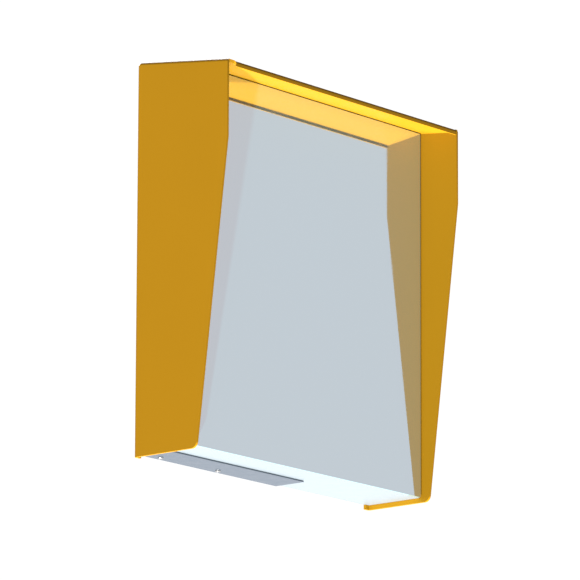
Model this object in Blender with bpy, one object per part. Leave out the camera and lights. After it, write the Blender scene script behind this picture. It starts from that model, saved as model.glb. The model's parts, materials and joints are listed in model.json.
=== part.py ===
"""Pedestrian signal head: a folded yellow hood round a shallow gray case, with an LED unit behind a
flat front lens and a hinged service door at the rear. Blender 4.5, metres, +Z up, front towards -Y.

The origin is on the bottom mounting face: X = 0 is the middle of the width, Y = 0 is 9 mm in front of
the rear edge of the wings, and Z = 0 is the underside of the mounting strip."""

from math import cos, pi, radians, sin, tan

import bmesh
import bpy
from mathutils import Matrix, Vector

MM = 0.001
GAP = 0.3 * MM              # clearance between pieces that touch

# Hood: one folded sheet with two side wings, a top that falls towards the front, a small front lip
# and inward flanges at the rear.
WIDTH = 430 * MM
SHEET = 3 * MM
REAR_Y = 9 * MM             # rear edge of the wings
TOP_Z = 466 * MM            # rear edge of the top
BOTTOM_Z = -4 * MM          # lower edge of the wings
DEPTH_TOP = 138 * MM
DEPTH_BOTTOM = 94.5 * MM
KINK_Z = 355.6 * MM         # where the front edge starts to slant back
TOP_FALL = radians(7.35)
REAR_FLANGE = 10 * MM
LIP_HEIGHT = 6.5 * MM
LIP_X = (-199 * MM, 211 * MM)
LIP_SHEET = 1.5 * MM        # the lip is pressed thinner than the rest of the sheet
FOLD_RADIUS = 4 * MM
CORNER_RADIUS = 8 * MM
STUD_PLACES = [(-50 * MM, 90 * MM), (-50 * MM, 370 * MM)]
STUD_R = 2.3 * MM
STUD_REACH = 11 * MM        # how far the welded studs stand off the inside of the wings

# Case: a rectangular tray inside the hood, with an inward flange at the front for the lens and
# another one near the rear as the seat of the door.
WALL = 2.5 * MM
CASE_CLEAR = 0.5 * MM       # between hood and case
CASE_Z = 1.8 * MM           # underside of the bottom plate
CASE_FRONT_Y = -70.9 * MM
CASE_REAR_Y = 8.7 * MM
LENS_Y = -75.2 * MM         # front face of the lens
LENS_THICK = 4 * MM
LENS_GAP = 2.3 * MM         # between hood and lens
LENS_SCREWS = [(x, z) for x in (-200 * MM, 200 * MM) for z in (60 * MM, 394 * MM)] + [
    (0.0, 13 * MM), (0.0, 440.5 * MM)]
FRONT_FLANGE_Y = (-68.9 * MM, -66.4 * MM)
SEAT_Y = (-17.5 * MM, -15 * MM)
FRONT_WINDOW = (-191 * MM, 191 * MM, 22 * MM, 432 * MM)
REAR_WINDOW = (-194 * MM, 186 * MM, 19 * MM, 442 * MM)

# Bottom mounting face: a strip under the rear left of the bottom plate, on two pan-head screws.
STRIP_THICK = 1.5 * MM
STRIP_X = (-204.5 * MM, 40 * MM)
STRIP_Y = (-34 * MM, 8.7 * MM)
STRIP_SCREWS = [(-181 * MM, -2.5 * MM), (-79 * MM, -2.5 * MM)]
STRIP_SCREW_R = 2 * MM
STRIP_HEAD_R = 3.2 * MM
STRIP_HEAD_HEIGHT = 2.3 * MM
STRIP_SCREW_TIP = 7.5 * MM

# Rear door, its two hinges on the right and its two quarter-turn latches on the left.
DOOR_X = (-204 * MM, 198 * MM)
DOOR_Y = (-12 * MM, -9 * MM)
DOOR_Z = (9 * MM, 452 * MM)
DOOR_FIELD = (-160 * MM, 126 * MM, 32 * MM, 430 * MM)
FIELD_RISE = 0.9 * MM       # pressed stiffening field, proud at the rear and hollow inside
HINGE_X = 197 * MM
HINGE_Y = -4.7 * MM
HINGES_Z = {"upper": 350 * MM, "lower": 110 * MM}
HINGE_LENGTH = 60 * MM
LEAF_X = (160 * MM, 192 * MM)
LEAF_Y = (-8.7 * MM, -6.7 * MM)
KNUCKLE_R = 4 * MM
PIN_R = 2 * MM
LATCH_X = -182 * MM
LATCHES_Z = {"upper": 350 * MM, "lower": 110 * MM}
SHAFT_R = 4 * MM
GLAND_X, GLAND_Z = 150 * MM, 60 * MM

# LED unit and supply.
BOARD_Y = (-45.1 * MM, -43.5 * MM)
BOARD_X = (-200 * MM, 200 * MM)
BOARD_Z = (34 * MM, 440 * MM)
LED_R = 2.5 * MM
SUPPLY_X = (-65 * MM, 65 * MM)
SUPPLY_Z = (190 * MM, 280 * MM)
SUPPLY_Y = (-36 * MM, -34.4 * MM)
STANDOFFS = [(x, z) for x in (-196 * MM, 196 * MM) for z in (120 * MM, 330 * MM)]
LED_PANELS_X = {"hand": (-178 * MM, -22 * MM), "walker": (52 * MM, 168 * MM)}
LED_PANEL_Z = (116 * MM, 386 * MM)
LED_PANEL_THICK = 1.6 * MM
LEAD_R = 2 * MM
LEAD_ROUTE = [
    (0.027, -0.0325, 0.0120), (0.030, -0.0290, 0.0120), (0.040, -0.0275, 0.030),
    (0.056, -0.0275, 0.080), (0.066, -0.0275, 0.130), (0.068, -0.0275, 0.175),
    (0.072, -0.0285, 0.205), (0.068, -0.0295, 0.216), (0.0625, -0.0295, 0.216)]

# Each symbol is a set of strokes (x0, z0, x1, z1, number of lights), in millimetres.
HAND_STROKES = [
    (-150, 150, -60, 150, 7), (-158, 170, -166, 250, 6), (-148, 270, -152, 350, 6),
    (-122, 275, -122, 370, 7), (-96, 272, -92, 352, 6), (-52, 170, -34, 262, 6),
    (-72, 250, -58, 300, 4)]
WALKER_STROKES = [
    (110, 372, 126, 372, 2), (110, 356, 126, 356, 2), (112, 335, 108, 240, 8),
    (94, 318, 70, 262, 4), (128, 318, 154, 268, 4), (98, 222, 66, 130, 7),
    (122, 222, 152, 130, 7)]

COLOURS = {
    "hood_yellow": ((0.65, 0.36, 0.02), 0.45, 0.0),
    "case_gray": ((0.72, 0.76, 0.80), 0.35, 0.0),
    "lens_gray": ((0.50, 0.56, 0.62), 0.12, 0.0),
    "strip_gray": ((0.38, 0.43, 0.49), 0.4, 0.0),
    "rubber": ((0.02, 0.02, 0.02), 0.8, 0.0),
    "steel": ((0.60, 0.60, 0.61), 0.35, 1.0),
    "circuit_green": ((0.01, 0.12, 0.05), 0.4, 0.0),
    "led_amber": ((0.80, 0.30, 0.02), 0.15, 0.0),
    "led_clear": ((0.80, 0.80, 0.78), 0.12, 0.0),
    "nylon_black": ((0.03, 0.03, 0.03), 0.5, 0.0),
    "aluminium": ((0.72, 0.73, 0.74), 0.35, 1.0),
    "capacitor_blue": ((0.03, 0.07, 0.25), 0.35, 0.0),
    "cable_gray": ((0.15, 0.15, 0.16), 0.6, 0.0),
}


# ---------------------------------------------------------------- helpers

def clear_scene():
    for obj in list(bpy.data.objects):
        bpy.data.objects.remove(obj, do_unlink=True)


def make_materials():
    for name, (colour, roughness, metallic) in COLOURS.items():
        material = bpy.data.materials.new(name)
        material.use_nodes = True
        shader = material.node_tree.nodes["Principled BSDF"]
        shader.inputs["Base Color"].default_value = (*colour, 1.0)
        shader.inputs["Roughness"].default_value = roughness
        shader.inputs["Metallic"].default_value = metallic


def object_from(name, mesh_data, material=None):
    """Links a bmesh as an object, with its faces turned outwards."""
    bmesh.ops.recalc_face_normals(mesh_data, faces=mesh_data.faces)
    mesh = bpy.data.meshes.new(name)
    mesh_data.to_mesh(mesh)
    mesh_data.free()
    obj = bpy.data.objects.new(name, mesh)
    bpy.context.scene.collection.objects.link(obj)
    if material:
        mesh.materials.append(bpy.data.materials[material])
    return obj


def add_prism(shape, outline, axis, low, high):
    """Adds a closed prism: an outline in the two axes after `axis`, in X, Y, Z order, from low to high."""
    def point(u, v, along):
        place = [u, v]
        place.insert("XYZ".index(axis), along)
        return place

    near = [shape.verts.new(point(u, v, low)) for u, v in outline]
    far = [shape.verts.new(point(u, v, high)) for u, v in outline]
    shape.faces.new(near)
    shape.faces.new(list(reversed(far)))
    for i in range(len(outline)):
        j = (i + 1) % len(outline)
        shape.faces.new((near[i], far[i], far[j], near[j]))


def add_box(shape, x, y, z):
    add_prism(shape, [(y[0], z[0]), (y[1], z[0]), (y[1], z[1]), (y[0], z[1])], "X", x[0], x[1])


def circle(radius, centre, sides):
    angles = [2 * pi * i / sides for i in range(sides)]
    return [(centre[0] + radius * cos(a), centre[1] + radius * sin(a)) for a in angles]


def rounded(corners, steps=5):
    """An outline from corners (u, v, radius), with each corner that has a radius as an arc."""
    outline = []
    for i, (u, v, radius) in enumerate(corners):
        corner = Vector((u, v))
        if not radius:
            outline.append((u, v))
            continue
        before = (Vector(corners[i - 1][:2]) - corner).normalized()
        after = (Vector(corners[(i + 1) % len(corners)][:2]) - corner).normalized()
        half = before.angle(after) / 2
        reach = radius / tan(half)
        centre = corner + (before + after).normalized() * radius / sin(half)
        start, end = corner + before * reach - centre, corner + after * reach - centre
        for step in range(steps + 1):
            spoke = start.normalized().slerp(end.normalized(), step / steps)
            outline.append(tuple(centre + radius * spoke))
    return outline


def rounded_box(x, z, radius):
    corners = ((x[0], z[0]), (x[1], z[0]), (x[1], z[1]), (x[0], z[1]))
    return rounded([(u, v, radius) for u, v in corners], 4)


def prism(name, outline, axis, low, high, material=None):
    shape = bmesh.new()
    add_prism(shape, outline, axis, low, high)
    return object_from(name, shape, material)


def add_round(shape, axis, centre, radius, low, high, sides=24):
    """Adds a cylinder along `axis`; centre is in the two other axes, in X, Y, Z order."""
    add_prism(shape, circle(radius, centre, sides), axis, low, high)


def add_stepped(shape, axis, centre, steps, sides=24):
    """Adds one turned solid: steps are (along, radius) from end to end, on flat steps or cones."""
    rings = []
    for along, radius in steps:
        ring = []
        for u, v in circle(radius, centre, sides):
            place = [u, v]
            place.insert("XYZ".index(axis), along)
            ring.append(shape.verts.new(place))
        rings.append(ring)
    shape.faces.new(rings[0])
    shape.faces.new(list(reversed(rings[-1])))
    for one, two in zip(rings, rings[1:]):
        for i in range(sides):
            j = (i + 1) % sides
            shape.faces.new((one[i], two[i], two[j], one[j]))


def cut(target, cutter, operation="DIFFERENCE"):
    """Cuts (or joins) with a helper object, which stays in the file as a wire guide."""
    cutter.hide_render = True
    cutter.display_type = "WIRE"
    modifier = target.modifiers.new(cutter.name, "BOOLEAN")
    modifier.operation = operation
    modifier.object = cutter
    modifier.solver = "EXACT"


def cut_rounds(target, axis, centres, radius, low, high, sides=16):
    """Cuts a row of round holes of one radius."""
    name = f"{target.name}_holes_{len(target.modifiers)}"
    shape = bmesh.new()
    for centre in centres:
        add_round(shape, axis, centre, radius, low, high, sides)
    cut(target, object_from(name, shape))


def smooth(obj, angle=35):
    obj.data.shade_smooth()
    obj.data.set_sharp_from_angle(angle=radians(angle))


def hood_top(y):
    """Height of the hood's outer top surface."""
    return TOP_Z - (REAR_Y - y) * tan(TOP_FALL)


def hood_under(y):
    return hood_top(y) - SHEET / cos(TOP_FALL)


def case_top(y):
    return hood_under(y) - CASE_CLEAR


# ---------------------------------------------------------------- hood

def make_hood():
    front_y = REAR_Y - DEPTH_TOP
    outline = rounded([
        (REAR_Y, BOTTOM_Z, 0),
        (REAR_Y, TOP_Z, 7 * MM),
        (front_y, hood_top(front_y), 0),
        (front_y, KINK_Z, 0),
        (REAR_Y - DEPTH_BOTTOM, BOTTOM_Z, CORNER_RADIUS),
    ])
    shape = bmesh.new()
    add_prism(shape, outline, "X", -WIDTH / 2, WIDTH / 2)
    folds = [edge for edge in shape.edges if is_fold(edge)]
    bmesh.ops.bevel(shape, geom=folds, offset=FOLD_RADIUS, segments=4, profile=0.5, affect="EDGES")
    hood = object_from("hood", shape, "hood_yellow")

    half = WIDTH / 2 - SHEET
    ahead, below = -0.3, -0.1
    inside = [(ahead, below), (REAR_Y - SHEET, below), (REAR_Y - SHEET, hood_under(REAR_Y - SHEET)),
              (ahead, hood_under(ahead))]
    cut(hood, prism("hood_inside", inside, "X", -half, half))
    back = [(-WIDTH / 2 + REAR_FLANGE, below), (WIDTH / 2 - REAR_FLANGE, below),
            (WIDTH / 2 - REAR_FLANGE, TOP_Z - REAR_FLANGE), (-WIDTH / 2 + REAR_FLANGE, TOP_Z - REAR_FLANGE)]
    cut(hood, prism("hood_rear_window", back, "Y", REAR_Y - 2 * SHEET, REAR_Y + SHEET))

    lip_top = hood_top(front_y) - SHEET / 2
    lip = bmesh.new()
    add_box(lip, LIP_X, (front_y, front_y + LIP_SHEET), (hood_top(front_y) - LIP_HEIGHT, lip_top))
    cut(hood, object_from("hood_lip", lip), "UNION")

    root, end = WIDTH / 2 - SHEET / 2, WIDTH / 2 - SHEET - STUD_REACH
    studs = bmesh.new()
    for side in (-1, 1):
        for place in STUD_PLACES:
            add_round(studs, "X", place, STUD_R, *sorted((side * root, side * end)), 12)
    cut(hood, object_from("hood_weld_studs", studs), "UNION")
    smooth(hood)


def is_fold(edge):
    """The edges where the sheet folds: between top and wings, and down the rear of each wing."""
    one, two = (vert.co for vert in edge.verts)
    if abs(one.x - two.x) > 1e-6:
        return False
    at_top = min(one.z - hood_top(one.y), two.z - hood_top(two.y)) > -8 * MM
    at_rear = min(one.y, two.y) > REAR_Y - 8 * MM
    return (at_top or at_rear) and (one - two).length < 1


def make_hood_nuts():
    """Nuts inside the case, on the studs that are welded to each wing."""
    inside = WIDTH / 2 - SHEET - CASE_CLEAR - WALL - GAP
    for side, side_name in ((-1, "left"), (1, "right")):
        for place, level in zip(STUD_PLACES, ("lower", "upper")):
            shape = bmesh.new()
            add_round(shape, "X", place, 4.6 * MM, *sorted((side * inside, side * (inside - 4 * MM))), 6)
            nut = object_from(f"hood_nut_{side_name}_{level}", shape, "steel")
            cut_rounds(nut, "X", [place], STUD_R + GAP, -WIDTH / 2, WIDTH / 2, 12)


# ---------------------------------------------------------------- case, strip and lens

def make_case():
    half = WIDTH / 2 - SHEET - CASE_CLEAR
    outline = [(CASE_FRONT_Y, CASE_Z), (CASE_REAR_Y, CASE_Z), (CASE_REAR_Y, case_top(CASE_REAR_Y)),
               (CASE_FRONT_Y, case_top(CASE_FRONT_Y))]
    case = prism("case", outline, "X", -half, half, "case_gray")
    inner, floor = half - WALL, CASE_Z + WALL

    def pocket(name, y0, y1):
        room = [(y0, floor), (y1, floor), (y1, case_top(y1) - WALL), (y0, case_top(y0) - WALL)]
        cut(case, prism(name, room, "X", -inner, inner))

    pocket("case_front_pocket", CASE_FRONT_Y - 10 * MM, FRONT_FLANGE_Y[0])
    pocket("case_room", FRONT_FLANGE_Y[1], SEAT_Y[0])
    pocket("case_rear_recess", SEAT_Y[1], CASE_REAR_Y + 10 * MM)
    for name, (x0, x1, z0, z1), y0, y1 in (
            ("case_front_window", FRONT_WINDOW, CASE_FRONT_Y, FRONT_FLANGE_Y[1] + MM),
            ("case_rear_window", REAR_WINDOW, SEAT_Y[0] - MM, SEAT_Y[1] + MM)):
        cut(case, prism(name, rounded_box((x0, x1), (z0, z1), 6 * MM), "Y", y0, y1))

    trim_y = REAR_Y - SHEET - GAP
    trim = bmesh.new()
    add_box(trim, (-WIDTH, WIDTH), (trim_y, 0.03), (floor, 0.6))
    cut(case, object_from("case_rear_trim", trim))
    corners = bmesh.new()
    for side in (-1, 1):
        x = sorted((side * (WIDTH / 2 - REAR_FLANGE - GAP), side * WIDTH))
        add_box(corners, x, (trim_y, 0.03), (-0.02, 0.02))
    cut(case, object_from("case_corner_trim", corners))

    cut_rounds(case, "Z", STRIP_SCREWS, STRIP_SCREW_R + GAP, -0.01, 0.01, 16)
    cut_rounds(case, "Y", LENS_SCREWS, 2.3 * MM, -0.08, FRONT_FLANGE_Y[1] + MM, 12)
    cut_rounds(case, "X", STUD_PLACES, STUD_R + GAP, -WIDTH, WIDTH, 12)


def make_mounting_strip():
    """The strip, and the screws whose heads stand below it and whose tips stand in the rear recess."""
    strip = bmesh.new()
    add_box(strip, STRIP_X, STRIP_Y, (0, STRIP_THICK))
    strip = object_from("mounting_strip", strip, "strip_gray")
    cut_rounds(strip, "Z", STRIP_SCREWS, STRIP_SCREW_R + GAP, -0.01, 0.01, 16)

    crown, top = -STRIP_HEAD_HEIGHT, STRIP_SCREW_TIP
    for number, place in enumerate(STRIP_SCREWS, 1):
        shape = bmesh.new()
        add_stepped(shape, "Z", place, [
            (crown, 0.6 * STRIP_HEAD_R), (0.6 * crown, 0.9 * STRIP_HEAD_R), (0.3 * crown, STRIP_HEAD_R),
            (-GAP / 3, STRIP_HEAD_R), (-GAP / 3, STRIP_SCREW_R), (top - 0.8 * MM, STRIP_SCREW_R),
            (top, 0.6 * STRIP_SCREW_R)], 16)
        smooth(object_from(f"strip_screw_{number}", shape, "steel"))


def make_lens():
    half = WIDTH / 2 - SHEET - LENS_GAP
    back = LENS_Y + LENS_THICK
    outline = rounded_box((-half, half), (CASE_Z, hood_under(LENS_Y) - LENS_GAP), 1.5 * MM)
    lens = prism("lens", outline, "Y", LENS_Y, back, "lens_gray")
    cut_rounds(lens, "Y", LENS_SCREWS, 2.1 * MM, back - 2.6 * MM, back + MM, 12)

    inner = WIDTH / 2 - SHEET - CASE_CLEAR - WALL - GAP
    low, high = CASE_Z + WALL + GAP, case_top(CASE_FRONT_Y) - WALL - MM
    outer = rounded_box((-inner, inner), (low, high), 2 * MM)
    gasket = prism("lens_gasket", outer, "Y", back + GAP, FRONT_FLANGE_Y[0] - GAP, "rubber")
    x0, x1, z0, z1 = FRONT_WINDOW
    opening = rounded_box((x0, x1), (z0, z1), 6 * MM)
    cut(gasket, prism("lens_gasket_opening", opening, "Y", -0.08, -0.06))
    cut_rounds(gasket, "Y", LENS_SCREWS, 2.3 * MM, -0.08, -0.06, 12)

    for number, place in enumerate(LENS_SCREWS, 1):
        make_screw(f"lens_screw_{number}", "Y", place, back - 2.2 * MM, FRONT_FLANGE_Y[1] + GAP)


def make_screw(name, axis, place, tip, seat):
    """A pan-head screw from its tip to the face that its head sits on."""
    way = 1 if seat > tip else -1
    shape = bmesh.new()
    add_stepped(shape, axis, place, [
        (tip, 1.1 * MM), (tip + way * 0.6 * MM, 1.6 * MM), (seat, 1.6 * MM), (seat, 3.1 * MM),
        (seat + way * 1.1 * MM, 3.0 * MM), (seat + way * 2 * MM, 2.0 * MM)], 12)
    smooth(object_from(name, shape, "steel"))


# ---------------------------------------------------------------- LED unit

def lights_on(strokes):
    places = []
    for x0, z0, x1, z1, count in strokes:
        for i in range(count):
            share = i / (count - 1)
            places.append(((x0 + (x1 - x0) * share) * MM, (z0 + (z1 - z0) * share) * MM))
    return places


def make_led_unit():
    board = prism("led_board", rounded_box(BOARD_X, BOARD_Z, 4 * MM), "Y", *BOARD_Y, "circuit_green")
    cut_rounds(board, "Y", STANDOFFS, 1.9 * MM, -0.06, -0.03, 12)

    base = BOARD_Y[0] - GAP
    face = base - LED_PANEL_THICK
    for name, strokes, material in (
            ("hand", HAND_STROKES, "led_amber"), ("walker", WALKER_STROKES, "led_clear")):
        outline = rounded_box(LED_PANELS_X[name], LED_PANEL_Z, 3 * MM)
        panel = prism(f"{name}_led_panel", outline, "Y", face, base, material)
        leds = bmesh.new()
        for place in lights_on(strokes):
            add_stepped(leds, "Y", place, [
                (face - 7.5 * MM, 1.2 * MM), (face - 6 * MM, LED_R), (face + 0.8 * MM, LED_R)], 6)
        cut(panel, object_from(f"{name}_leds", leds), "UNION")

    foot = FRONT_FLANGE_Y[1] + GAP
    for number, place in enumerate(STANDOFFS, 1):
        shape = bmesh.new()
        add_round(shape, "Y", place, 3.4 * MM, foot, base, 6)
        standoff = object_from(f"board_standoff_{number}", shape, "aluminium")
        cut_rounds(standoff, "Y", [place], 1.9 * MM, base - 9 * MM, base + MM, 12)
        make_screw(f"board_screw_{number}", "Y", place, base - 8 * MM, BOARD_Y[1] + GAP)


def make_supply():
    """The supply board on the back of the LED board, and what is soldered to it."""
    inset = 6 * MM
    places = [(x, z) for x in (SUPPLY_X[0] + inset, SUPPLY_X[1] - inset)
              for z in (SUPPLY_Z[0] + inset, SUPPLY_Z[1] - inset)]
    board = prism("supply_board", rounded_box(SUPPLY_X, SUPPLY_Z, 3 * MM), "Y", *SUPPLY_Y, "circuit_green")
    cut_rounds(board, "Y", places, 1.9 * MM, -0.04, -0.03, 12)

    face = SUPPLY_Y[1] + GAP
    for number, place in enumerate(places, 1):
        spacer = bmesh.new()
        add_stepped(spacer, "Y", place, [
            (BOARD_Y[1] + GAP, 3 * MM), (SUPPLY_Y[0] - GAP, 3 * MM), (SUPPLY_Y[0] - GAP, 1.5 * MM),
            (face, 1.5 * MM), (face, 2.4 * MM), (face + 2.4 * MM, 1.2 * MM)], 12)
        smooth(object_from(f"supply_spacer_{number}", spacer, "nylon_black"))

    core = bmesh.new()
    add_box(core, (-44 * MM, -12 * MM), (face, face + 10 * MM), (228 * MM, 256 * MM))
    core = object_from("transformer", core, "nylon_black")
    winding = bmesh.new()
    add_box(winding, (-48 * MM, -8 * MM), (face + 2 * MM, face + 8 * MM), (234 * MM, 250 * MM))
    cut(core, object_from("transformer_winding", winding), "UNION")

    for number, x in enumerate((8 * MM, 30 * MM), 1):
        can = bmesh.new()
        add_stepped(can, "Y", (x, 246 * MM), [
            (face, 8 * MM), (face + 10 * MM, 8 * MM), (face + 11 * MM, 7.3 * MM)], 20)
        smooth(object_from(f"capacitor_{number}", can, "capacitor_blue"))

    sink = bmesh.new()
    fins, pitch = 6, 8 * MM
    length = fins * pitch
    outline = [(-length / 2, 0.0), (length / 2, 0.0)]
    for i in range(fins):
        right = length / 2 - i * pitch
        outline += [(right, 10 * MM), (right - pitch / 3, 10 * MM), (right - pitch / 3, 3 * MM),
                    (right - pitch, 3 * MM)]
    outline[-1:] = []
    outline = [(x, face + y) for x, y in outline] + [(-length / 2, face + 3 * MM)]
    add_prism(sink, outline, "Z", 200 * MM, 218 * MM)
    object_from("heat_sink", sink, "aluminium")

    plug = bmesh.new()
    add_box(plug, (44 * MM, 62 * MM), (face, face + 9 * MM), (206 * MM, 226 * MM))
    object_from("supply_connector", plug, "nylon_black")


def make_terminals():
    """The strip where the street cable's cores are clamped, inside on the floor of the case."""
    floor = CASE_Z + WALL + GAP
    block = bmesh.new()
    add_box(block, (-58 * MM, 58 * MM), (-60 * MM, -34 * MM), (floor, floor + 8 * MM))
    block = object_from("terminal_block", block, "nylon_black")
    ribs = bmesh.new()
    for i in range(7):
        x = (-54 + 18 * i) * MM
        add_box(ribs, (x - MM, x + MM), (-59.5 * MM, -34.5 * MM), (floor + 7 * MM, floor + 15 * MM))
    cut(block, object_from("terminal_ribs", ribs), "UNION")


def curve_points(route, per_leg=5):
    """Points on a smooth Catmull-Rom curve through the route."""
    points = [Vector(p) for p in route]
    padded = [2 * points[0] - points[1]] + points + [2 * points[-1] - points[-2]]
    result = []
    for a, b, c, d in zip(padded, padded[1:], padded[2:], padded[3:]):
        for i in range(per_leg):
            t = i / per_leg
            result.append(0.5 * (2 * b + (c - a) * t + (2 * a - 5 * b + 4 * c - d) * t ** 2
                                 + (3 * b - a - 3 * c + d) * t ** 3))
    return result + [points[-1]]


def make_leads():
    """The lead from the terminal block up to the supply board."""
    curve = bpy.data.curves.new("supply_lead", "CURVE")
    curve.dimensions = "3D"
    spline = curve.splines.new("POLY")
    points = curve_points(LEAD_ROUTE)
    spline.points.add(len(points) - 1)
    for target, point in zip(spline.points, points):
        target.co = (*point, 1.0)
    curve.bevel_depth = LEAD_R
    curve.bevel_resolution = 2
    curve.use_fill_caps = True
    curve.materials.append(bpy.data.materials["cable_gray"])
    bpy.context.scene.collection.objects.link(bpy.data.objects.new("supply_lead", curve))


# ---------------------------------------------------------------- rear door

def make_door():
    door = prism("rear_door", rounded_box(DOOR_X, DOOR_Z, 6 * MM), "Y", *DOOR_Y, "case_gray")
    cut_rounds(door, "Y", [(LATCH_X, z) for z in LATCHES_Z.values()], 6.8 * MM, -0.02, 0.0, 24)
    cut_rounds(door, "Y", [(GLAND_X, GLAND_Z)], 10.3 * MM, -0.02, 0.0, 32)
    press_field(door)

    seal_y = (SEAT_Y[1] + GAP, DOOR_Y[0] - GAP)
    outer = rounded_box((DOOR_X[0] + MM, DOOR_X[1] - MM), (DOOR_Z[0] + MM, DOOR_Z[1] - MM), 6 * MM)
    gasket = prism("door_gasket", outer, "Y", *seal_y, "rubber")
    rim = 8 * MM
    inner = rounded_box((DOOR_X[0] + rim, DOOR_X[1] - rim - MM), (DOOR_Z[0] + rim, DOOR_Z[1] - rim), 4 * MM)
    cut(gasket, prism("door_gasket_opening", inner, "Y", -0.02, -0.01))


def press_field(door):
    """The door's pressed field: a low plateau with a sloping rim at the rear, and its hollow inside."""
    x0, x1, z0, z1 = DOOR_FIELD
    outline = rounded_box((x0, x1), (z0, z1), 12 * MM)
    for operation, y0, y1 in (("UNION", DOOR_Y[1] - MM, DOOR_Y[1] + FIELD_RISE),
                              ("DIFFERENCE", DOOR_Y[0] - MM, DOOR_Y[0] + FIELD_RISE)):
        shape = bmesh.new()
        add_prism(shape, outline, "Y", y0, y1)
        rim = [edge for edge in shape.edges if all(vert.co.y > y1 - 0.1 * MM for vert in edge.verts)]
        bmesh.ops.bevel(shape, geom=rim, offset=0.7 * FIELD_RISE, segments=1, affect="EDGES")
        cut(door, object_from(f"rear_door_field_{operation.lower()}", shape), operation)


def make_hinge(name, middle):
    """A three-knuckle hinge: the outer knuckles are on the case, the middle one is on the door."""
    third = HINGE_LENGTH / 3
    low, high = middle - HINGE_LENGTH / 2, middle + HINGE_LENGTH / 2
    centre = (HINGE_X, HINGE_Y)
    wall = WIDTH / 2 - SHEET - CASE_CLEAR - WALL - GAP

    fixed = bmesh.new()
    add_box(fixed, (wall - 2.2 * MM, wall), (-8.7 * MM, 3.5 * MM), (low + 0.5 * MM, high - 0.5 * MM))
    fixed = object_from(f"hinge_fixed_leaf_{name}", fixed, "steel")
    arms, knuckles = bmesh.new(), bmesh.new()
    for z0, z1 in ((low, low + third - GAP / 2), (high - third + GAP / 2, high)):
        add_box(arms, (HINGE_X + MM, wall - MM), (-7.9 * MM, -5.9 * MM), (z0 + 0.8 * MM, z1 - 0.8 * MM))
        add_round(knuckles, "Z", centre, KNUCKLE_R, z0, z1, 24)
    cut(fixed, object_from(f"hinge_arms_{name}", arms), "UNION")
    cut(fixed, object_from(f"hinge_knuckles_{name}", knuckles), "UNION")
    cut_rounds(fixed, "Z", [centre], PIN_R + GAP, low - 0.01, high + 0.01, 16)

    moving = bmesh.new()
    add_box(moving, LEAF_X, LEAF_Y, (low + 0.5 * MM, high - 0.5 * MM))
    moving = object_from(f"hinge_door_leaf_{name}", moving, "steel")
    arm, knuckle = bmesh.new(), bmesh.new()
    z0, z1 = low + third + GAP / 2, high - third - GAP / 2
    add_box(arm, (LEAF_X[1] - MM, HINGE_X - MM), (-8.3 * MM, -7.0 * MM), (z0 + 0.8 * MM, z1 - 0.8 * MM))
    add_round(knuckle, "Z", centre, KNUCKLE_R, z0, z1, 24)
    cut(moving, object_from(f"hinge_door_arm_{name}", arm), "UNION")
    cut(moving, object_from(f"hinge_door_knuckle_{name}", knuckle), "UNION")
    cut_rounds(moving, "Z", [centre], PIN_R + GAP, low - 0.01, high + 0.01, 16)

    pin = bmesh.new()
    add_stepped(pin, "Z", centre, [
        (low - 2 * MM, 1.6 * MM), (low - 1.2 * MM, PIN_R), (high + GAP, PIN_R), (high + GAP, 3.2 * MM),
        (high + 2 * MM, 2.6 * MM)], 16)
    smooth(object_from(f"hinge_pin_{name}", pin, "steel"))


def make_latch(name, z):
    """A quarter-turn latch, drawn turned open: knob and shaft, cam and nut all turn in a bush."""
    centre = (LATCH_X, z)
    knob = bmesh.new()
    add_stepped(knob, "Y", centre, [
        (-25.5 * MM, 3.4 * MM), (-24.9 * MM, SHAFT_R), (-6.1 * MM, SHAFT_R), (-6.1 * MM, 9 * MM),
        (-2.6 * MM, 9 * MM), (-1.6 * MM, 8 * MM)], 24)
    knob = object_from(f"latch_knob_{name}", knob, "steel")
    handle = rounded_box((LATCH_X - 3.5 * MM, LATCH_X + 3.5 * MM), (z - 17 * MM, z + 17 * MM), 3 * MM)
    cut(knob, prism(f"latch_grip_{name}", handle, "Y", -3.5 * MM, 7.5 * MM), "UNION")
    smooth(knob)

    reach, half = 22 * MM, 5 * MM
    outline = rounded([(LATCH_X - half, z - reach, 3 * MM), (LATCH_X + half, z - reach, 3 * MM),
                       (LATCH_X + half, z + 7 * MM, 4 * MM), (LATCH_X - half, z + 7 * MM, 4 * MM)], 4)
    cam = prism(f"latch_cam_{name}", outline, "Y", -21 * MM, -18 * MM, "steel")
    cut_rounds(cam, "Y", [centre], SHAFT_R + GAP / 3, -0.03, -0.01, 24)
    nut = bmesh.new()
    add_round(nut, "Y", centre, 6.5 * MM, -24.6 * MM, -21.3 * MM, 6)
    nut = object_from(f"latch_nut_{name}", nut, "steel")
    cut_rounds(nut, "Y", [centre], SHAFT_R + GAP / 3, -0.03, -0.01, 24)

    shape = bmesh.new()
    add_stepped(shape, "Y", centre, [
        (-14.5 * MM, 6.5 * MM), (-8.7 * MM, 6.5 * MM), (-8.7 * MM, 9 * MM), (-6.4 * MM, 8.4 * MM)], 24)
    bush = object_from(f"latch_bush_{name}", shape, "steel")
    cut_rounds(bush, "Y", [centre], SHAFT_R + GAP, -0.03, 0.0, 24)
    smooth(bush)


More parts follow.
